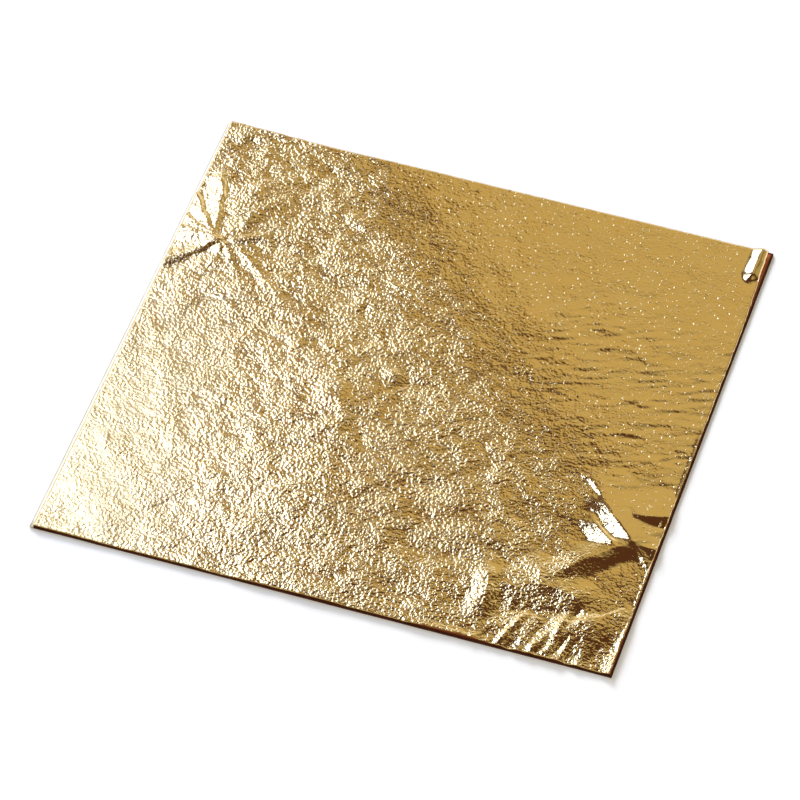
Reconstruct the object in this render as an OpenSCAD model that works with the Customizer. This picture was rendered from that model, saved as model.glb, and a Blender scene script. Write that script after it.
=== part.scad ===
// Booklet of gold leaf for gilding, lying open at its first leaf.
// Each loose leaf lies on a page of rouged tissue, and the pages are bound along one edge
// by a film of padding adhesive, over a backing sheet. The first leaf is bare and creased.
// +X runs from the bound edge to the fore edge, +Y from the foot to the head, +Z up.
// The origin lies under the middle of the booklet.

/* [Gold leaf] */
// Side of one square leaf
leaf_side = 80; // [60:1:140]
// Number of leaves, each with a page of its own
leaf_count = 10; // [1:1:25]
// Thickness given to a leaf, which is really far thinner
leaf_t = 0.004; // [0.003:0.001:0.01]
// How far the first leaf's fore edge draws back at the head corner
head_draw_back = 0.45; // [0:0.05:1]
// Length of fore edge over which it draws back
head_draw_back_run = 14; // [5:1:30]
// How far the first leaf's foot edge draws back in its one slack stretch
foot_draw_back = 0.25; // [0:0.05:1]
// Length of that slack stretch
foot_slack_run = 14; // [5:1:30]
// Middle of that slack stretch, from the fore edge
foot_slack_from_fore = 21; // [16:1:40]

/* [Tissue pages] */
// Thickness of a page
page_t = 0.024; // [0.015:0.001:0.05]
// Strip of page that a leaf leaves bare at the fore edge
fore_margin = 0.25; // [0.1:0.05:3]
// Strip of page that a leaf leaves bare at the head and at the foot
side_margin = 0.05; // [0.02:0.01:3]
// Air between two sheets that lie on each other
sheet_gap = 0.002; // [0.001:0.001:0.01]

/* [Backing and binding] */
// Thickness of the backing sheet
backing_t = 0.06; // [0.04:0.01:0.5]
// Thickness of the adhesive film on the bound edge
film_t = 0.15; // [0.08:0.01:0.4]
// Radius of the film's outer edges
film_round = 0.06; // [0.02:0.01:0.1]
// Clearance between a turned leaf and the film
turn_clearance = 0.2; // [0.1:0.05:1]

/* [Creases of the first leaf] */
// Rise of the long crease that runs to the fore edge
long_crease_rise = 0.75; // [0.2:0.05:1.2]
// Run of its long side, and of its steep side
long_crease_run = 7; // [4:0.5:10]
long_crease_drop = 2.6; // [1.5:0.1:5]
// Rise of the short crease beyond it at the fore edge
short_crease_rise = 0.4; // [0.1:0.05:0.8]
// Run of its long side, and of its steep side
short_crease_run = 5; // [3:0.5:8]
short_crease_drop = 1.6; // [1:0.1:4]
// Rise of the bent crease nearer the foot
bent_crease_rise = 0.55; // [0.1:0.05:1]
// Run of its long side, and of its steep side
bent_crease_run = 3.6; // [2:0.1:6]
bent_crease_drop = 2.4; // [1.5:0.1:5]
// Rise of the blister at the bent crease's start
blister_rise = 0.5; // [0.1:0.05:1]
// Run of its long side, and of its steep side
blister_run = 3.4; // [2:0.1:6]
blister_drop = 1.8; // [1:0.1:4]
// Rise of the corner crease
corner_crease_rise = 0.45; // [0.1:0.05:0.8]
// Run of its long side, and of its steep side
corner_crease_run = 1.9; // [1:0.1:4]
corner_crease_drop = 2.8; // [1.5:0.1:5]
// Rise of the forked crease at the bound edge
bound_crease_rise = 0.35; // [0.1:0.05:0.8]
// Run of its long side, and of its steep side
bound_crease_run = 8; // [5:0.5:12]
bound_crease_drop = 2.6; // [1.5:0.1:6]
// Rise of the soft ridge in the middle
middle_ridge_rise = 0.25; // [0.1:0.05:0.6]
// Run of its long side, and of its steep side
middle_ridge_run = 5; // [3:0.5:8]
middle_ridge_drop = 3; // [2:0.5:5]
// Rise of the curl at the head corner, and how far it reaches
head_curl_rise = 0.5; // [0.1:0.05:1]
head_curl_reach = 4.5; // [3:0.5:8]
// Rise of the lifted fore edge near the foot corner
edge_lift_rise = 0.2; // [0.05:0.05:0.5]
// How far that lift reaches in, and along the edge
edge_lift_reach = 1.9; // [1:0.1:4]
edge_lift_length = 6; // [4:0.5:12]

/* [Hidden] */
// A leaf keeps clear of the film while its page turns over it.
spine_margin = film_t + turn_clearance;
page_w = spine_margin + leaf_side + fore_margin;
page_d = leaf_side + 2 * side_margin;
spine_x = (film_t - page_w) / 2;
fore_x = spine_x + page_w;
foot_y = -page_d / 2;
leaf_fore_x = fore_x - fore_margin;
leaf_spine_x = spine_x + spine_margin;
leaf_foot_y = foot_y + side_margin;
leaf_head_y = leaf_foot_y + leaf_side;

// One page, its leaf and the air round them
page_pitch = page_t + leaf_t + 2 * sheet_gap;
// All pages turn on one line, along the bound edge of the first page's upper face.
hinge_z = page_top(1);

// The first leaf's mesh is finer where its creases lie, by the fore edge and the foot.
fine_zone = 28;
fine_pitch = 2.1;
coarse_pitch = 5.3;
fine_cells = ceil(fine_zone / fine_pitch);
coarse_cells = ceil((leaf_side - fine_zone) / coarse_pitch);
cells = coarse_cells + fine_cells;

// Creases run towards the fore edge or the head. Their long side is on the left of that
// way, and each point is [in from the fore edge, up from the foot edge, share of the rise].
long_crease = [[11.9, 13.3, 0.25], [7.1, 18.9, 0.8], [3.6, 22.3, 1], [0, 21.9, 0.85]];
short_crease = [[6.2, 25.7, 0.3], [4, 27.1, 1], [0, 28, 1]];
bent_crease = [[19.8, 10.4, 0.5], [14.7, 11.2, 0.9], [12.2, 12.6, 1], [9.4, 12.7, 1], [5.9, 10.8, 0.5]];
blister_crease = [[19.5, 6.7, 0.6], [19.3, 8.4, 1], [19.9, 10, 1]];
corner_crease = [[8.9, 6.7, 0.6], [6.8, 6.4, 1], [5.1, 7.6, 1], [3.5, 8.9, 0.6]];
// These points go in from the bound edge and down from the head edge instead.
bound_crease = [[0, 29, 0.8], [4.4, 24, 1], [5.2, 22.2, 1], [8.9, 20.6, 0.4]];
bound_fork = [[8, 17.5, 0.4], [5.8, 12.7, 0.8]];
middle_ridge = [[34.4, 52, 0.5], [30.5, 44.8, 1]];

function two_digits(n) = str(n < 10 ? "0" : "", n);
function page_name(n) = str("tissue_page_", two_digits(n));
function leaf_name(n) = str("gold_leaf_", two_digits(n));

// Pages are counted from the top, so the last one lies on the backing sheet.
function page_bottom(n) = backing_t + sheet_gap + (leaf_count - n) * page_pitch;
function page_top(n) = page_bottom(n) + page_t;

// Points of a crease, in the booklet's own frame
function from_fore_and_foot(path) =
    [for (c = path) [leaf_fore_x - c[0], leaf_foot_y + c[1], c[2]]];
function from_spine_and_head(path) =
    [for (c = path) [leaf_spine_x + c[0], leaf_head_y - c[1], c[2]]];

// Height at p of one straight stretch of crease, from a to b
function stretch_height(p, a, b, rise, run, drop) =
    let (
        length = norm([b.x - a.x, b.y - a.y]),
        way = [b.x - a.x, b.y - a.y] / length,
        off = [p.x - a.x, p.y - a.y],
        along = off * way,
        on_left = way.x * off.y - way.y * off.x,
        nearest = min(max(along, 0), length),
        share = a.z + (b.z - a.z) * nearest / length,
        reach = on_left > 0 ? run : drop
    )
    rise * share * max(0, 1 - norm([on_left, along - nearest]) / reach);

function crease_height(p, path, rise, run, drop) = max([
    for (i = [1:len(path) - 1]) stretch_height(p, path[i - 1], path[i], rise, run, drop)
]);

// Height of the curl at the head corner of the fore edge
function curl_height(p) =
    head_curl_rise * max(0, 1 - norm([leaf_fore_x - p.x, leaf_head_y - p.y]) / head_curl_reach);

// Height of the fore edge's lift, which fades along the edge from the foot corner
function edge_height(p) =
    edge_lift_rise
    * max(0, 1 - (leaf_fore_x - p.x) / edge_lift_reach)
    * min(1, max(0, 2 - (p.y - leaf_foot_y) / edge_lift_length));

// How far the first leaf stands off its page at p
function leaf_rise(p) = max(
    crease_height(p, from_fore_and_foot(long_crease), long_crease_rise, long_crease_run, long_crease_drop),
    crease_height(p, from_fore_and_foot(short_crease), short_crease_rise, short_crease_run, short_crease_drop),
    crease_height(p, from_fore_and_foot(bent_crease), bent_crease_rise, bent_crease_run, bent_crease_drop),
    crease_height(p, from_fore_and_foot(blister_crease), blister_rise, blister_run, blister_drop),
    crease_height(p, from_fore_and_foot(corner_crease), corner_crease_rise, corner_crease_run, corner_crease_drop),
    crease_height(p, from_spine_and_head(bound_crease), bound_crease_rise, bound_crease_run, bound_crease_drop),
    crease_height(p, from_spine_and_head(bound_fork), bound_crease_rise, bound_crease_run, bound_crease_drop),
    crease_height(p, from_spine_and_head(middle_ridge), middle_ridge_rise, middle_ridge_run, middle_ridge_drop),
    curl_height(p),
    edge_height(p)
);

// Distance of mesh line i from the edge where the lines are close
function line_offset(i) =
    i <= fine_cells
    ? fine_zone * i / fine_cells
    : fine_zone + (leaf_side - fine_zone) * (i - fine_cells) / coarse_cells;

// The foot edge draws back most in the middle of its slack stretch.
function foot_edge_y(x) =
    leaf_foot_y
    + foot_draw_back * max(0, 1 - abs(leaf_fore_x - foot_slack_from_fore - x) / (foot_slack_run / 2));

// The fore edge draws back towards the head corner.
function fore_edge_x(y) =
    leaf_fore_x - head_draw_back * max(0, 1 - (leaf_head_y - y) / head_draw_back_run);

// Place of the mesh point where line i from the fore edge meets line j from the foot
function leaf_point(i, j) =
    let (
        flat_x = leaf_fore_x - line_offset(i),
        flat_y = leaf_foot_y + line_offset(j),
        x_share = (flat_x - leaf_spine_x) / leaf_side,
        y_share = (leaf_head_y - flat_y) / leaf_side
    )
    [
        leaf_spine_x + x_share * (fore_edge_x(flat_y) - leaf_spine_x),
        leaf_head_y - y_share * (leaf_head_y - foot_edge_y(flat_x))
    ];

module backing_sheet() {
    color("#8c4a2c")
        translate([spine_x, foot_y, 0])
            cube([page_w, page_d, backing_t]);
}

// Film brushed over the bound edge, with its two outer edges rounded
module spine_binding() {
    color("#e9e2d2")
        translate([spine_x - film_t, -foot_y, 0])
            rotate([90, 0, 0])
                linear_extrude(page_d) {
                    translate([film_round, 0])
                        square([film_t - film_round - sheet_gap, hinge_z]);
                    translate([0, film_round])
                        square([film_t - sheet_gap, hinge_z - 2 * film_round]);
                    for (z = [film_round, hinge_z - film_round])
                        translate([film_round, z])
                            circle(film_round, $fn = 48);
                }
}

module tissue_page(n) {
    color("#a8431d")
        translate([spine_x, foot_y, page_bottom(n)])
            cube([page_w, page_d, page_t]);
}

// A leaf pressed flat between two pages
module pressed_leaf(n) {
    color("#d4a63c")
        translate([leaf_spine_x, leaf_foot_y, page_top(n) + sheet_gap])
            cube([leaf_side, leaf_side, leaf_t]);
}

// The bare first leaf: a mesh of its two faces, lifted along its creases
module creased_leaf() {
    row = cells + 1;
    face_points = row * row;
    under = [
        for (j = [0:cells])
            for (i = [0:cells])
                let (p = leaf_point(i, j))
                    [p.x, p.y, hinge_z + sheet_gap + leaf_rise(p)]
    ];
    upper = [for (p = under) [p.x, p.y, p.z + leaf_t]];
    sheet_faces = [
        for (j = [0:cells - 1])
            for (i = [0:cells - 1])
                let (a = j * row + i)
                    each [[a, a + row, a + row + 1], [a, a + row + 1, a + 1]]
    ];
    foot = [for (i = [0:cells]) i];
    bound = [for (j = [0:cells]) j * row + cells];
    head = [for (i = [0:cells]) face_points - 1 - i];
    fore = [for (j = [0:cells]) (cells - j) * row];
    rim_faces = [
        for (side = [foot, bound, head, fore])
            for (k = [0:cells - 1])
                let (a = side[k], b = side[k + 1])
                    each [[a, b, b + face_points], [a, b + face_points, a + face_points]]
    ];
    color("#d9ae45")
        polyhedron(
            points = concat(under, upper),
            faces = concat(
                [for (f = sheet_faces) [f[0], f[2], f[1]]],
                [for (f = sheet_faces) [for (v = f) v + face_points]],
                [for (f = rim_faces) [f[0], f[2], f[1]]]
            )
        );
}

module gold_leaf(n) {
    if (n == 1)
        creased_leaf();
    else
        pressed_leaf(n);
}

backing_sheet();
spine_binding();
for (n = [1:leaf_count])
    tissue_page(n);
for (n = [1:leaf_count])
    gold_leaf(n);
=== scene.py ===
import math

import bpy
import numpy as np
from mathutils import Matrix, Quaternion, Vector


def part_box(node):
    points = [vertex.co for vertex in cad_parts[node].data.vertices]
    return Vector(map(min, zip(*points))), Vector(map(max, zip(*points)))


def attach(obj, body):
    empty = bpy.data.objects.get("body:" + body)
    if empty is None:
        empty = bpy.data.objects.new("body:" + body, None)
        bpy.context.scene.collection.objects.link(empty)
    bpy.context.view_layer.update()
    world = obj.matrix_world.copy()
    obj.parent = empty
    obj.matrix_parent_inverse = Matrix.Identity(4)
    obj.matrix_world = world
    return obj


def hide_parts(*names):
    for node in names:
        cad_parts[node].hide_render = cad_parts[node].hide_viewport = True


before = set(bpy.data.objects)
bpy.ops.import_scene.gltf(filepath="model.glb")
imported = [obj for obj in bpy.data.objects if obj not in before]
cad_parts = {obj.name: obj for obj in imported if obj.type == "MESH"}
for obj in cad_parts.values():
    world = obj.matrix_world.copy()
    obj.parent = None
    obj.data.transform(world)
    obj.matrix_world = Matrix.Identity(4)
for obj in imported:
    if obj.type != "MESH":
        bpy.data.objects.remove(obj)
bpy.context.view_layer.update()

for leftover in [o for o in bpy.context.scene.objects if o.type in {"LIGHT", "CAMERA"}]:
    bpy.data.objects.remove(leftover)


# Backing sheet: a square of brown wrapping paper, heavier than the tissue, that closes the
# booklet underneath. It is cut with the pages in one stroke of the guillotine, and the
# padding adhesive holds it by its bound edge.

MM = 0.001


def box_mm(node):
    low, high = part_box(node)
    return low / MM, high / MM


def soft_noise(u, v, size, seed):
    """Smooth heights of about -1 to 1 that change over the length size, in mm."""
    knots = 256
    table = np.random.default_rng(seed).uniform(-1, 1, (knots, knots))
    s, t = u / size + knots / 4, v / size + knots / 4
    i, j = np.floor(s).astype(int), np.floor(t).astype(int)
    a, b = s - i, t - j
    a, b = a * a * (3 - 2 * a), b * b * (3 - 2 * b)
    i, j = i % (knots - 1), j % (knots - 1)
    near = table[i, j] * (1 - a) + table[i + 1, j] * a
    far = table[i, j + 1] * (1 - a) + table[i + 1, j + 1] * a
    return near * (1 - b) + far * b


def new_piece(name, points, faces, smooth):
    """A mesh piece from points in mm, with smooth saying of each face whether it shades smooth."""
    mesh = bpy.data.meshes.new(name)
    mesh.from_pydata((np.array(points) * MM).tolist(), [], faces)
    mesh.polygons.foreach_set("use_smooth", smooth)
    mesh.update()
    piece = bpy.data.objects.new(name, mesh)
    bpy.context.scene.collection.objects.link(piece)
    return piece


def closed_sheet(name, x, y, under, upper):
    """A sheet from grids of points in mm, with its two faces and the cut edge between them."""
    rows, cols = x.shape
    count = rows * cols
    below = np.stack([x, y, under], -1).reshape(-1, 3)
    above = np.stack([x, y, upper], -1).reshape(-1, 3)
    index = np.arange(count).reshape(rows, cols)
    quads = np.stack([index[:-1, :-1], index[:-1, 1:], index[1:, 1:], index[1:, :-1]], -1)
    quads = quads.reshape(-1, 4)
    rim = np.concatenate([index[0, :], index[1:, -1], index[-1, -2::-1], index[-2:0:-1, 0]])
    after = np.roll(rim, -1)
    edge = np.stack([rim, after, after + count, rim + count], -1)
    faces = np.concatenate([quads[:, ::-1], quads + count, edge])
    smooth = np.ones(len(faces), bool)
    smooth[-len(edge):] = False
    return new_piece(name, np.concatenate([below, above]), faces.tolist(), smooth)


def flat_sheet(node, name, waver, seed):
    """A sheet that fills its node's box, but for edges that waver inwards by up to waver, in mm."""
    cells = 60
    side = 80
    waver_length = 1.4
    low, high = box_mm(node)
    line = np.linspace(0, 1, cells + 1)
    s, t = np.meshgrid(line, line)

    def trim(along, edge_seed):
        return waver * (0.5 + 0.5 * soft_noise(along * side, along * 0, waver_length, edge_seed))

    x0 = low.x + trim(t, seed)
    x1 = high.x - trim(t, seed + 1)
    y0 = low.y + trim(s, seed + 2)
    y1 = high.y - trim(s, seed + 3)
    x, y = x0 + (x1 - x0) * s, y0 + (y1 - y0) * t
    return closed_sheet(name, x, y, x * 0 + low.z, x * 0 + high.z)


class Value:
    """A node's output that Python's operators turn into Math nodes."""

    # Where a Mix node keeps its factor, its two colours and the mixed colour
    FACTOR, FIRST_COLOUR, SECOND_COLOUR, MIXED_COLOUR = 0, 6, 7, 2

    def __init__(self, tree, socket):
        self.tree = tree
        self.socket = socket

    def node(self, kind, settings, inputs, output=0):
        """An output of a new node, whose inputs are values or links."""
        made = self.tree.nodes.new("ShaderNode" + kind)
        for name, setting in settings.items():
            setattr(made, name, setting)
        for key, given in inputs.items():
            if isinstance(given, Value):
                self.tree.links.new(given.socket, made.inputs[key])
            else:
                made.inputs[key].default_value = given
        return Value(self.tree, made.outputs[output])

    def math(self, operation, *others):
        return self.node("Math", {"operation": operation}, dict(enumerate((self, *others))))

    def __add__(self, other):
        return self.math("ADD", other)

    def __mul__(self, other):
        return self.math("MULTIPLY", other)

    def __sub__(self, other):
        return self.math("SUBTRACT", other)

    def __rsub__(self, other):
        return self.node("Math", {"operation": "SUBTRACT"}, {0: other, 1: self})

    __radd__ = __add__
    __rmul__ = __mul__

    def step(self, low, high):
        """0 below low, 1 above high, and smooth between."""
        settings = {"interpolation_type": "SMOOTHSTEP"}
        return self.node("MapRange", settings, {"Value": self, "From Min": low, "From Max": high})

    def noise(self, scale, detail=3, rough=0.6):
        """Noise over a place in mm, with scale features in each mm."""
        inputs = {"Vector": self, "Scale": scale, "Detail": detail, "Roughness": rough}
        return self.node("TexNoise", {}, inputs)

    def stretched(self, sides):
        """A place whose x, y and z are multiplied by these."""
        return self.node("VectorMath", {"operation": "MULTIPLY"}, {0: self, 1: sides})

    def away_from(self, point):
        """How far a place is from a point."""
        return self.node("VectorMath", {"operation": "DISTANCE"}, {0: self, 1: point}, "Value")

    def part(self, axis):
        return self.node("SeparateXYZ", {}, {0: self}, axis)

    def between(self, first, second):
        """The colour that lies at this share of the way from first to second."""
        first, second = (c if isinstance(c, Value) else (*c, 1) for c in (first, second))
        settings = {"data_type": "RGBA", "clamp_factor": True}
        inputs = {self.FACTOR: self, self.FIRST_COLOUR: first, self.SECOND_COLOUR: second}
        return self.node("Mix", settings, inputs, self.MIXED_COLOUR)

    def bump(self, depth):
        """A normal from this height, where 1 is depth in mm."""
        return self.node("Bump", {}, {"Strength": 1.0, "Distance": depth * MM, "Height": self})


def finish_of(name, constants, vary):
    """A material with constants set on its shader, and what vary(place in mm) gives linked to it."""
    material = bpy.data.materials.new(name)
    material.use_nodes = True
    tree = material.node_tree
    shader = tree.nodes["Principled BSDF"]
    for socket, value in constants.items():
        shader.inputs[socket].default_value = value
    where = Value(tree, tree.nodes.new("ShaderNodeTexCoord").outputs["Object"])
    place = where.stretched((1 / MM, 1 / MM, 1 / MM))
    for socket, value in vary(place).items():
        tree.links.new(value.socket, shader.inputs[socket])
    return material


def from_cut_edge(place, half_x, half_y):
    """How far a place on a sheet lies in from the nearest cut edge, in mm."""
    x, y = place.part("X"), place.part("Y")
    return (half_x - x.math("ABSOLUTE")).math("MINIMUM", half_y - y.math("ABSOLUTE"))


def backing_paper(place):
    dark_brown = (0.30, 0.115, 0.045)
    light_brown = (0.40, 0.17, 0.075)
    shaded_edge_brown = (0.10, 0.024, 0.010)
    fibre = place.stretched((1, 5, 1)).noise(1.6, 4, 0.65)
    pulp = place.noise(0.35, 5)
    # Painted shade: within half a mm of its cut edge the paper turns a deep brown, which stands in
    # for the shade on the side of the stack.
    cut = from_cut_edge(place, backing_high.x, backing_high.y).step(0.5, 0.0)
    face = (fibre * 0.6 + pulp * 0.5).step(0.3, 0.8).between(dark_brown, light_brown)
    return {
        "Base Color": cut.between(face, shaded_edge_brown),
        "Roughness": fibre * 0.15 + 0.78,
        "Normal": (fibre + place.noise(6, 2) * 0.5).bump(0.012),
    }


backing_high = box_mm("backing_sheet")[1]
brown_paper = finish_of("brown_backing_paper", {"Specular IOR Level": 0.25}, backing_paper)
backing = flat_sheet("backing_sheet", "backing_sheet_paper", 0.03, 11)
backing.data.materials.append(brown_paper)
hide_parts("backing_sheet")
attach(backing, "block")


# Spine binding: a film of padding adhesive, brushed along the bound edge while the booklet
# stood clamped. It dries off-white and rubbery, thicker where the brush overlapped, and it
# is what every page turns on.

def padding_adhesive(place):
    thin_white = (0.66, 0.60, 0.49)
    thick_white = (0.80, 0.77, 0.69)
    strokes = place.stretched((3, 0.35, 3)).noise(1.4, 4)
    clots = place.noise(1.1, 3)
    return {
        "Base Color": (strokes * 0.7 + clots * 0.3).step(0.3, 0.75).between(thin_white, thick_white),
        "Roughness": strokes * 0.25 + 0.32,
        "Normal": (strokes * 0.7 + clots).bump(0.02),
    }


film_low, film_high = box_mm("spine_binding")
bend_radius = 0.06
brush_depth = 0.02
flush_strip = 0.01
bend = [(1 - math.sin(a), 1 - math.cos(a)) for a in np.linspace(0, math.pi / 2, 7)]
lower_bend = [(film_low.x + bend_radius * x, film_low.z + bend_radius * z) for x, z in bend]
upper_bend = [(x, film_low.z + film_high.z - z) for x, z in reversed(lower_bend)]
inner_low, inner_high = (film_high.x, film_low.z), (film_high.x, film_high.z)
profile = np.array([inner_low] + lower_bend + upper_bend + [inner_high])
around = len(profile)
stations = np.linspace(film_low.y, film_high.y, 201)
film_points = []
for station in stations:
    thin = 0.5 + 0.5 * soft_noise(np.array(station), profile[:, 1] * 9, 1.8, 21)
    thin = thin * brush_depth * (profile[:, 0] < film_high.x - flush_strip)
    film_points += [(x + dip, station, z) for (x, z), dip in zip(profile, thin)]
film_faces = []
for start in range(0, (len(stations) - 1) * around, around):
    for k in range(around):
        after = (k + 1) % around
        film_faces.append((start + k, start + after, start + around + after, start + around + k))
film_faces.append(tuple(reversed(range(around))))
film_faces.append(tuple(range(len(film_points) - around, len(film_points))))
film_smooth = np.array([len(face) == 4 for face in film_faces])
film = new_piece("spine_binding_film", film_points, film_faces, film_smooth)
film_white = finish_of("padding_adhesive_film", {"Specular IOR Level": 0.4}, padding_adhesive)
film.data.materials.append(film_white)
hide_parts("spine_binding")
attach(film, "block")


# Tissue pages: thin tissue rubbed with red rouge powder, so that the gold doesn't cling to
# it. One page lies under each leaf. Their cut edges are painted darker, as painted shade on
# the sides of the stack, and they show as the red-brown line round the foot and the fore edge.

def rouged_tissue(place):
    deep_rouge = (0.44, 0.095, 0.028)
    pale_rouge = (0.60, 0.20, 0.072)
    shaded_edge_rouge = (0.045, 0.010, 0.005)
    bare_tissue = (0.78, 0.73, 0.62)
    fibre = place.stretched((1, 4, 1)).noise(2.2, 5, 0.7)
    powder = place.noise(0.5, 6, 0.7)
    # Painted shade: near the cut edge each page is mixed towards a near black, which stands in for
    # the shade on the sides of the stack.
    cut = from_cut_edge(place, page_high.x, page_high.y).step(0.6, 0.1)
    into_film = place.part("X") + place.noise(1.2, 2) * 0.2
    bound = into_film.step(page_low.x + 0.55, page_low.x + 0.42)
    face = (fibre * 0.45 + powder * 0.65).step(0.32, 0.78).between(deep_rouge, pale_rouge)
    with_shaded_edge = (cut * (0.75 + powder * 0.4)).between(face, shaded_edge_rouge)
    return {
        "Base Color": bound.between(with_shaded_edge, bare_tissue),
        "Roughness": powder * 0.1 + 0.84,
        "Normal": (fibre * 0.8 + place.noise(9, 2) * 0.4).bump(0.006),
    }


leaf_count = 10
page_low, page_high = box_mm("tissue_page_01")
tissue = finish_of("red_rouged_tissue", {"Specular IOR Level": 0.15}, rouged_tissue)
for n in range(1, leaf_count + 1):
    node = f"tissue_page_{n:02d}"
    page = flat_sheet(node, node + "_sheet", 0.035, 100 + 10 * n)
    page.data.materials.append(tissue)
    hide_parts(node)
    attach(page, f"page_{n:02d}")


# Pressed leaves: loose squares of beaten gold, laid on their pages with gilder's tongs. The
# page above presses each flat, so only the print of its wrinkles is left in the surface.

def pressed_gold(place):
    deep_gold = (1.0, 0.73, 0.29)
    light_gold = (1.0, 0.77, 0.34)
    grain = place.noise(1.1, 5, 0.62)
    cell = place.node("TexVoronoi", {"feature": "F1"}, {"Vector": place, "Scale": 0.9})
    wrinkle = grain * 0.6 + cell * 0.35 + place.stretched((0.35, 1, 1)).noise(0.8, 3) * 0.5
    return {
        "Base Color": place.noise(0.3, 4).step(0.3, 0.7).between(deep_gold, light_gold),
        "Roughness": grain * 0.12 + 0.12,
        "Normal": wrinkle.bump(0.16),
    }


pressed_finish = finish_of("pressed_gold_leaf", {"Metallic": 1.0}, pressed_gold)
for n in range(2, leaf_count + 1):
    node = f"gold_leaf_{n:02d}"
    pressed = flat_sheet(node, node + "_pressed", 0.06, 300 + 10 * n)
    pressed.data.materials.append(pressed_finish)
    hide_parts(node)
    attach(pressed, f"page_{n:02d}")


# First leaf: the bare square of beaten gold on top, about as thin as a soap film. Breath
# and handling have crumpled it all over, thrown a few folds up at its fore edge and foot,
# and drawn its head corner back off the page. It lies loose and can be lifted away.

def facets(u, v, size, seed):
    """Heights that run straight between the corners of triangles with sides of about size."""
    corners = 512
    table = np.random.default_rng(seed).normal(0, 1, (corners, corners))
    t = v / (size * 0.866)
    s = u / size - 0.5 * t
    s, t = s + 200, t + 150
    i, j = np.floor(s).astype(int), np.floor(t).astype(int)
    a, b = s - i, t - j
    i, j = i % (corners - 1), j % (corners - 1)
    first, along, across, last = table[i, j], table[i + 1, j], table[i, j + 1], table[i + 1, j + 1]
    near = first + a * (along - first) + b * (across - first)
    far = last + (1 - a) * (across - last) + (1 - b) * (along - last)
    return np.where(a + b < 1, near, far)


def crumple(u, v, size, seed):
    """Facets whose corners are pushed about, so that no lattice shows."""
    push = 0.45 * size
    pushed_u = u + push * soft_noise(u, v, size * 1.3, seed + 1)
    pushed_v = v + push * soft_noise(u, v, size * 1.3, seed + 2)
    return facets(pushed_u, pushed_v, size, seed)


def drawn_out(u, v, angle):
    """Coordinates for facets that are four times as long along this angle as across it."""
    along = (u * math.cos(angle) + v * math.sin(angle)) / 4
    across = -u * math.sin(angle) + v * math.cos(angle)
    return along, across


def smooth_step(value, low, high):
    """0 at low, 1 at high, and smooth between, whichever of them is larger."""
    share = np.clip((value - low) / (high - low), 0, 1)
    return share * share * (3 - 2 * share)


def crease(u, v, path, rise, run, drop):
    """A fold along path, whose points are x, y and share of rise. It falls off over run on its
    left and over drop on its right."""
    height = np.zeros_like(u)
    for (ax, ay, a_share), (bx, by, b_share) in zip(path, path[1:]):
        length = math.hypot(bx - ax, by - ay)
        way_x, way_y = (bx - ax) / length, (by - ay) / length
        along = (u - ax) * way_x + (v - ay) * way_y
        on_left = way_x * (v - ay) - way_y * (u - ax)
        nearest = np.clip(along, 0, length)
        share = a_share + (b_share - a_share) * nearest / length
        reach = np.where(on_left > 0, run, drop)
        slope = np.maximum(0, 1 - np.hypot(on_left, along - nearest) / reach)
        height = np.maximum(height, rise * share * slope)
    return height


leaf_low, leaf_high = box_mm("gold_leaf_01")
leaf_thickness = 0.004
leaf_cells = 340
line = np.linspace(0, 1, leaf_cells + 1)
s, t = np.meshgrid(line, line)
u = leaf_low.x + (leaf_high.x - leaf_low.x) * s
v = leaf_low.y + (leaf_high.y - leaf_low.y) * t
in_from_fore = leaf_high.x - u
up_from_foot = v - leaf_low.y

# Folds at the fore edge and along the foot, the tallest on the leaf, which wander a little
fold_u = u + 0.22 * soft_noise(u, v, 2.4, 530) + 0.07 * soft_noise(u, v, 1.0, 531)
fold_v = v + 0.22 * soft_noise(u, v, 2.4, 532) + 0.07 * soft_noise(u, v, 1.0, 533)
long_crease = [(27.0, -27.3, 0.6), (33, -21.1, 0.95), (36.4, -17.6, 1), (40.2, -18.1, 0.85)]
shoulder = [(30.8, -11.6, 0.6), (33.9, -14.6, 0.98), (36.5, -17.6, 1)]
lower_face = [(31.3, -15.4, 0.6), (33.3, -17.6, 1), (34.5, -18.9, 0.9)]
short_crease = [(33.9, -14.3, 0.3), (36.1, -12.9, 1), (40.2, -12, 1)]
bent_crease = [(20.6, -30.1, 0.5), (24, -29.8, 0.8), (27.4, -28.4, 1)]
bent_crease += [(29, -28.3, 1), (32.2, -29, 0.9), (34.2, -30.2, 0.5)]
bent_shoulder = [(26.0, -25.4, 0.5), (27.3, -28.6, 1)]
blister = [(20.9, -34.2, 0.6), (20.9, -31.6, 1), (20.3, -29.2, 1), (19.7, -27.4, 0.4)]
corner_crease = [(30.6, -33.6, 0.5), (33.3, -33.6, 1), (35.4, -31.8, 1), (36.9, -31.1, 0.5)]
tall_folds = np.maximum.reduce([
    crease(fold_u, fold_v, long_crease, rise=0.54, run=3.2, drop=2.6),
    crease(fold_u, fold_v, shoulder, rise=0.57, run=6, drop=2.75),
    crease(fold_u, fold_v, lower_face, rise=0.55, run=0.16, drop=2.7),
    crease(fold_u, fold_v, short_crease, rise=0.48, run=5, drop=2.1),
    crease(fold_u, fold_v, bent_crease, rise=0.46, run=3.6, drop=3.8),
    crease(fold_u, fold_v, bent_shoulder, rise=0.53, run=3, drop=2.6),
    crease(fold_u, fold_v, blister, rise=0.52, run=2.7, drop=2.4),
    crease(fold_u, fold_v, corner_crease, rise=0.44, run=1.8, drop=6),
])

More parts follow.
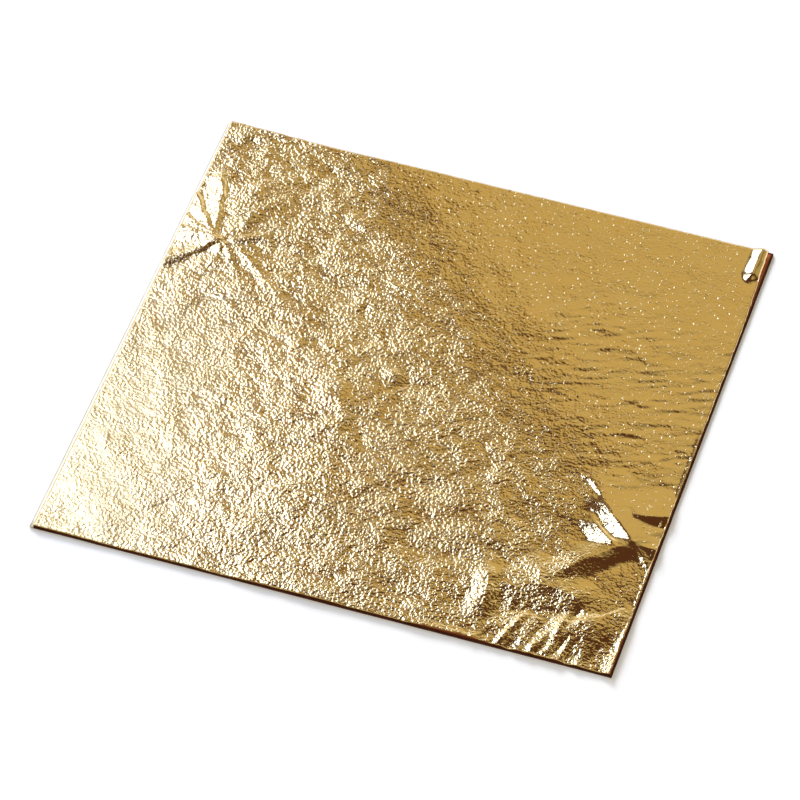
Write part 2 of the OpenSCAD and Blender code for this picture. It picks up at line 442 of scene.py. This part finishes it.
# Folds at the bound edge, with fine creases that fan out from their fork
bound_crease = [(-40, 11, 0.7), (-36.4, 14.4, 1), (-34, 17.4, 1), (-31.2, 19.2, 0.8)]
bound_ridge = [(-32.2, 17.8, 0.7), (-31.0, 23, 1), (-31.6, 29.5, 0.7)]
bound_folds = np.maximum(
    crease(u, v, bound_crease, rise=0.36, run=1.8, drop=1.3),
    crease(u, v, bound_ridge, rise=0.36, run=8, drop=6),
)
fan_creases = [
    ([(-31.5, 17.6, 1), (-25.5, 12.4, 1), (-19.5, 7.2, 0.4)], 0.12, 1.4, 1.0),
    ([(-30.6, 18.4, 1), (-22.5, 13.2, 0.3)], 0.09, 1.0, 0.9),
    ([(-32.4, 16.6, 1), (-28.2, 10.4, 0.4)], 0.09, 1.1, 1.0),
    ([(-31.5, 21.5, 1), (-28.8, 27.4, 0.5)], 0.12, 0.9, 1.2),
    ([(-33.2, 15.8, 1), (-32.6, 8.0, 0.3)], 0.07, 1.0, 1.0),
    ([(-31.8, 17.7, 0.7), (-30.4, 18.8, 1), (-28.4, 19.9, 0.6)], 0.24, 1.0, 1.3),
]
fan = np.maximum.reduce([crease(u, v, *fan_crease) for fan_crease in fan_creases])

# The bright patch at the bound edge, whose small ridges run out from the same fork
fork_x, fork_y = -34.4, 17.6
ridge_length = 11
wavy_u = u + 0.4 * soft_noise(u, v, 2.0, 522)
ridges = []
for angle in (3.0, 2.62, 2.2, 1.8):
    ridge_end = (fork_x + ridge_length * math.cos(angle), fork_y + ridge_length * math.sin(angle), 1)
    ridges.append(crease(wavy_u, v, [(fork_x, fork_y, 0.7), ridge_end], rise=0.42, run=2.5, drop=0.3))
bound_patch = np.maximum.reduce(ridges)

# The soft swelling in the middle, which falls off towards the fore edge
swelling_path = [(-9, 0, 0.6), (-8, -7, 1), (-4, -24, 0.8), (0, -41, 0.6)]
swelling = crease(u, v, swelling_path, rise=1, run=13, drop=22)
ridge_path = [(-6.6, -11.6, 0.5), (-7.6, -7, 1), (-9.2, -3.4, 0.8)]
middle_ridge = crease(u, v, ridge_path, rise=0.16, run=3.5, drop=1.6)

# The head corner, curled up along a short fold, and the edges that stand off the page
fringe = 0.12 * soft_noise(v, u * 0, 0.8, 520) * (1 - smooth_step(u, 37.6, 38.1))
curl = crease(u + fringe, v, [(39.15, 34.9, 1), (39.5, 41, 1)], rise=0.53, run=1.6, drop=1.0)
lifted_fore = 0.24 * np.maximum(0, 1 - in_from_fore / 1.6) * np.clip(2 - up_from_foot / 6, 0, 1)
lifted_fore += 0.13 * np.maximum(0, 1 - in_from_fore / 0.45) * smooth_step(v, 8, 0)
lifted_foot = 0.17 * np.maximum(0, 1 - up_from_foot / 1.1)
lifted_foot = lifted_foot * smooth_step(u, 12, 15) * smooth_step(u, 25, 22)
folds = np.maximum.reduce([tall_folds, bound_folds, curl, lifted_fore, lifted_foot])
folds = folds + fan + bound_patch + middle_ridge + 0.26 * smooth_step(swelling, 0, 1)

# How crumpled the leaf is: it lies smoother past a slanting border, towards the head of the
# fore edge, and is calmer along the foot, in the two bright patches and by the curl
border_x, border_y = 0.734, 0.679
past_border = border_x * u + border_y * v - 15.5
patchy = soft_noise(u, v, 3.4, 508) + 0.6 * soft_noise(u, v, 1.5, 509)
rough = (1.15 + 0.65 * patchy) * (1 - 0.8 * smooth_step(past_border + 5 * patchy, -9, 9))
from_bound_foot = np.hypot(u + 40, 0.5 * v + 15)
from_middle_foot = np.hypot(u - 10, v + 32)
from_long_crease = np.hypot(u - 33.5, (v + 16.5) * 0.6)
from_bound_patch = np.hypot(u + 37, v - 22)
from_curl = np.hypot(u - 38, 0.5 * v - 18.5)
rough *= 1 - 0.55 * smooth_step(from_bound_foot, 32, 8)
rough *= 1 - 0.25 * smooth_step(from_middle_foot, 24, 10)
rough *= 1 - 0.5 * smooth_step(from_long_crease, 7, 4)
rough *= 1 - 0.4 * smooth_step(from_bound_patch, 7.5, 5)
rough *= 1 - 0.85 * smooth_step(from_curl, 3.5, 2.2)
grain = (
    0.03 * crumple(u, v, 3.2, 501)
    + 0.016 * crumple(u, v, 1.4, 502)
    + 0.008 * crumple(u, v, 0.72, 503)
    + 0.004 * crumple(u, v, 0.45, 506)
)

# Broad waves, fine ripples across the smooth part, bright specks, and ribs at the foot
from_slack_foot = np.hypot(u - 14, v + 28)
slack_at_foot = 1 + 1.2 * smooth_step(from_slack_foot, 28, 12)
slack = (1 - 0.7 * smooth_step(past_border, -9, 9)) * slack_at_foot
broad = 0.05 * soft_noise(u, v, 13, 504) + 0.05 * soft_noise(u, v, 4.5, 523) * slack
broad += 0.4 * smooth_step(v - u, 64, 81)
ripple_zone = smooth_step(past_border, -12, 2) * smooth_step(u, 4, 20) * smooth_step(v, 30, 14)
ripples = 0.019 * crumple(*drawn_out(u, v, 0.33), 0.6, 505) * ripple_zone * (1 + 0.6 * patchy)
specks = 0.05 * np.maximum(0, crumple(u, v, 0.55, 510) - 1.7) * smooth_step(past_border, -12, -2)
rib_zone = smooth_step(u, 18, 22) * smooth_step(v, -30, -33) * smooth_step(u, 39, 36)
ribs = 0.12 * crumple(*drawn_out(u, v, 1.3), 1.0, 507) * rib_zone

# The leaf lies a little off its page, and its height is held softly between page and box
lie = 0.12
least = 0.02
ceiling = leaf_high.z - leaf_low.z - (leaf_thickness + 0.002)
knee = ceiling * 0.9
over_knee = ceiling * 0.1
relief = folds + rough * grain + ripples + specks + ribs + broad + lie
relief = np.maximum(least * np.exp(np.minimum(relief, least) / least - 1), relief)
over = np.maximum(0, relief - knee) / over_knee
relief = np.minimum(relief, knee) + over_knee * (1 - np.exp(-over))

# Torn edges, drawn back at the head corner and in the middle of the foot
tear = 0.03
fore_tear = 0.05
head_draw = 0.45 * np.clip(1 - (leaf_high.y - v) / 14, 0, 1)
foot_draw = 0.25 * np.clip(1 - np.abs(in_from_fore - 21) / 7, 0, 1)
x0 = leaf_low.x + tear + tear * soft_noise(v, v * 0, 0.7, 511)
x1 = leaf_high.x - head_draw - fore_tear - fore_tear * soft_noise(v, v * 0, 0.6, 512)
y0 = leaf_low.y + foot_draw + tear + tear * soft_noise(u, u * 0, 0.7, 513)
y1 = leaf_high.y - tear - tear * soft_noise(u, u * 0, 0.7, 514)
leaf_x, leaf_y = x0 + (x1 - x0) * s, y0 + (y1 - y0) * t


def bare_gold(place):
    deep_gold = (1.0, 0.75, 0.37)
    light_gold = (1.0, 0.77, 0.40)
    drift = place.noise(0.22, 3)
    border = place.part("X") * border_x + place.part("Y") * border_y + drift * 16 - 23.5
    smoother = border.step(-12, 8)
    from_folds = place.stretched((1, 0.6, 0)).away_from((34, -9.6, 0))
    from_foot = place.stretched((1, 0.5, 0)).away_from((-40, -15, 0))
    from_head = place.stretched((1, 0.45, 0)).away_from((38.6, 16.8, 0))
    calm = (from_folds.step(4, 8) * 0.6 + 0.4) * (from_foot.step(6, 28) * 0.45 + 0.55)
    calm = calm * from_head.step(1.8, 2.6)
    crackle = place.noise(2.4, 1.2, 0.5) * (place.noise(0.35, 3) * 3 - 0.5) * calm
    specks = (place.noise(1.9, 1) - 0.66).math("MAXIMUM", 0) * smoother
    height = crackle * (1 - smoother * 0.8) + specks * from_head.step(1.8, 2.6) * 3
    return {
        "Base Color": drift.step(0.3, 0.7).between(deep_gold, light_gold),
        "Roughness": drift * 0.08 + 0.07 + from_foot.step(32, 8) * 0.17,
        "Normal": height.bump(0.14),
    }


leaf_z = leaf_low.z + relief
first_leaf = closed_sheet("gold_leaf_01_creased", leaf_x, leaf_y, leaf_z, leaf_z + leaf_thickness)
first_leaf.data.materials.append(finish_of("bare_gold_leaf", {"Metallic": 1.0}, bare_gold))
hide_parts("gold_leaf_01")
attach(first_leaf, "first_leaf")


# Floor: a plain white table top, a hair's breadth under the backing sheet. It isn't part of
# the booklet, and it keeps the booklet's shadow.

def lit_table(place):
    """A faint glow that grows away from the soft box, so that the table is one white."""
    glow = place.part("X") * 0.00064 - place.part("Y") * 0.00077 + 0.15
    return {"Emission Color": glow.math("MAXIMUM", 0)}


half_table = 3000
table_z = -0.01
table_corners = [
    (x * half_table, y * half_table, table_z) for x, y in ((-1, -1), (1, -1), (1, 1), (-1, 1))
]
floor = new_piece("white_table", table_corners, [(0, 1, 2, 3)], [False])
table_top = {
    "Base Color": (0.85, 0.85, 0.90, 1),
    "Roughness": 0.9,
    "Specular IOR Level": 0.0,
    "Emission Strength": 1.0,
}
floor.data.materials.append(finish_of("white_table_top", table_top, lit_table))


# Studio: a soft box and a card on the left, over the bound edge, a warm board past the head,
# and daylight from a low window at the back. The room is pale, with a darker ceiling and
# four darker patches that the gold reflects.

def lamp(name, width, height, radiance, place, turned, colour):
    """A soft box overhead, of which width, height and place are in metres and turned in degrees."""
    data = bpy.data.lights.new(name, "AREA")
    data.shape = "RECTANGLE"
    data.size, data.size_y = width, height
    data.energy = radiance * math.pi * width * height
    data.color = colour
    made = bpy.data.objects.new(name, data)
    made.location = place
    made.rotation_euler = (0, 0, math.radians(turned))
    made.visible_camera = False
    bpy.context.scene.collection.objects.link(made)


cool_white = (0.80, 1.02, 1.5)
warm_white = (1.0, 1.0, 0.57)
lamp("left_soft_box", 0.32, 0.26, 2.9, (-0.2665, 0.1380, 0.25), -43.1, cool_white)
lamp("far_card", 0.15, 0.13, 3.0, (-0.285, 0.375, 0.25), -43.1, cool_white)
lamp("warm_board", 0.36, 0.22, 0.233, (0.007, 0.319, 0.25), -50.1, warm_white)

window_light = bpy.data.lights.new("low_window", "SUN")
window_light.energy = 3.5
window_light.angle = math.radians(20)
low_window = bpy.data.objects.new("low_window", window_light)
low_window.rotation_euler = (math.radians(68), 0, math.radians(215))
low_window.visible_glossy = False
bpy.context.scene.collection.objects.link(low_window)

room = bpy.data.worlds.new("pale_room")
bpy.context.scene.world = room
room.use_nodes = True
room_tree = room.node_tree
ray = Value(room_tree, room_tree.nodes.new("ShaderNodeTexCoord").outputs["Generated"])


def towards(azimuth, elevation):
    """How squarely a ray goes towards a direction. Azimuth 0 is over the head, 90 over the fore
    edge."""
    a, e = math.radians(azimuth), math.radians(elevation)
    direction = (math.sin(a) * math.cos(e), math.cos(a) * math.cos(e), math.sin(e))
    return ray.node("VectorMath", {"operation": "DOT_PRODUCT"}, {0: ray, 1: direction}, "Value")


def cosine(angle):
    return math.cos(math.radians(angle))


def dark_patch(around_it, azimuth, elevation, core, reach, colour):
    """The room with a darker patch, full within core degrees and gone at reach."""
    share = towards(azimuth, elevation).step(cosine(reach), cosine(core))
    return share.between(around_it, colour)


pale_wall = (1.0, 1.0, 1.0)
ochre_ceiling = (0.48, 0.42, 0.21)
deep_brown = (0.08, 0.034, 0.017)
room_colour = towards(0, 90).step(0.26, 0.44).between(pale_wall, ochre_ceiling)
room_colour = dark_patch(room_colour, -10, 66, 22, 38, deep_brown)
room_colour = dark_patch(room_colour, 28, 60, 14, 32, deep_brown)
room_colour = dark_patch(room_colour, -12, 38, 6, 19, (0.33, 0.22, 0.085))
room_colour = dark_patch(room_colour, -36, 36, 5, 17, (0.12, 0.08, 0.05))
room_tree.links.new(room_colour.socket, room_tree.nodes["Background"].inputs["Color"])


# Camera: a long lens from the front and a little to the right, that looks down on the
# booklet at the angle of the photograph.

azimuth, elevation, roll = (math.radians(angle) for angle in (17.134, 47.982, 1.168))
distance = 0.70599
aim = Vector((-1.017, -1.578, -1.146)) * MM
back = Vector((
    math.sin(azimuth) * math.cos(elevation),
    -math.cos(azimuth) * math.cos(elevation),
    math.sin(elevation),
))
camera_data = bpy.data.cameras.new("camera")
camera_data.sensor_width = 36
camera_data.lens = 232.8
camera_data.clip_start, camera_data.clip_end = 0.01, 20
camera = bpy.data.objects.new("camera", camera_data)
camera.location = aim + back * distance
camera.rotation_mode = "QUATERNION"
camera.rotation_quaternion = (-back).to_track_quat("-Z", "Y") @ Quaternion((0, 0, 1), roll)
bpy.context.scene.collection.objects.link(camera)
bpy.context.scene.camera = camera
bpy.context.scene.view_settings.view_transform = "Standard"
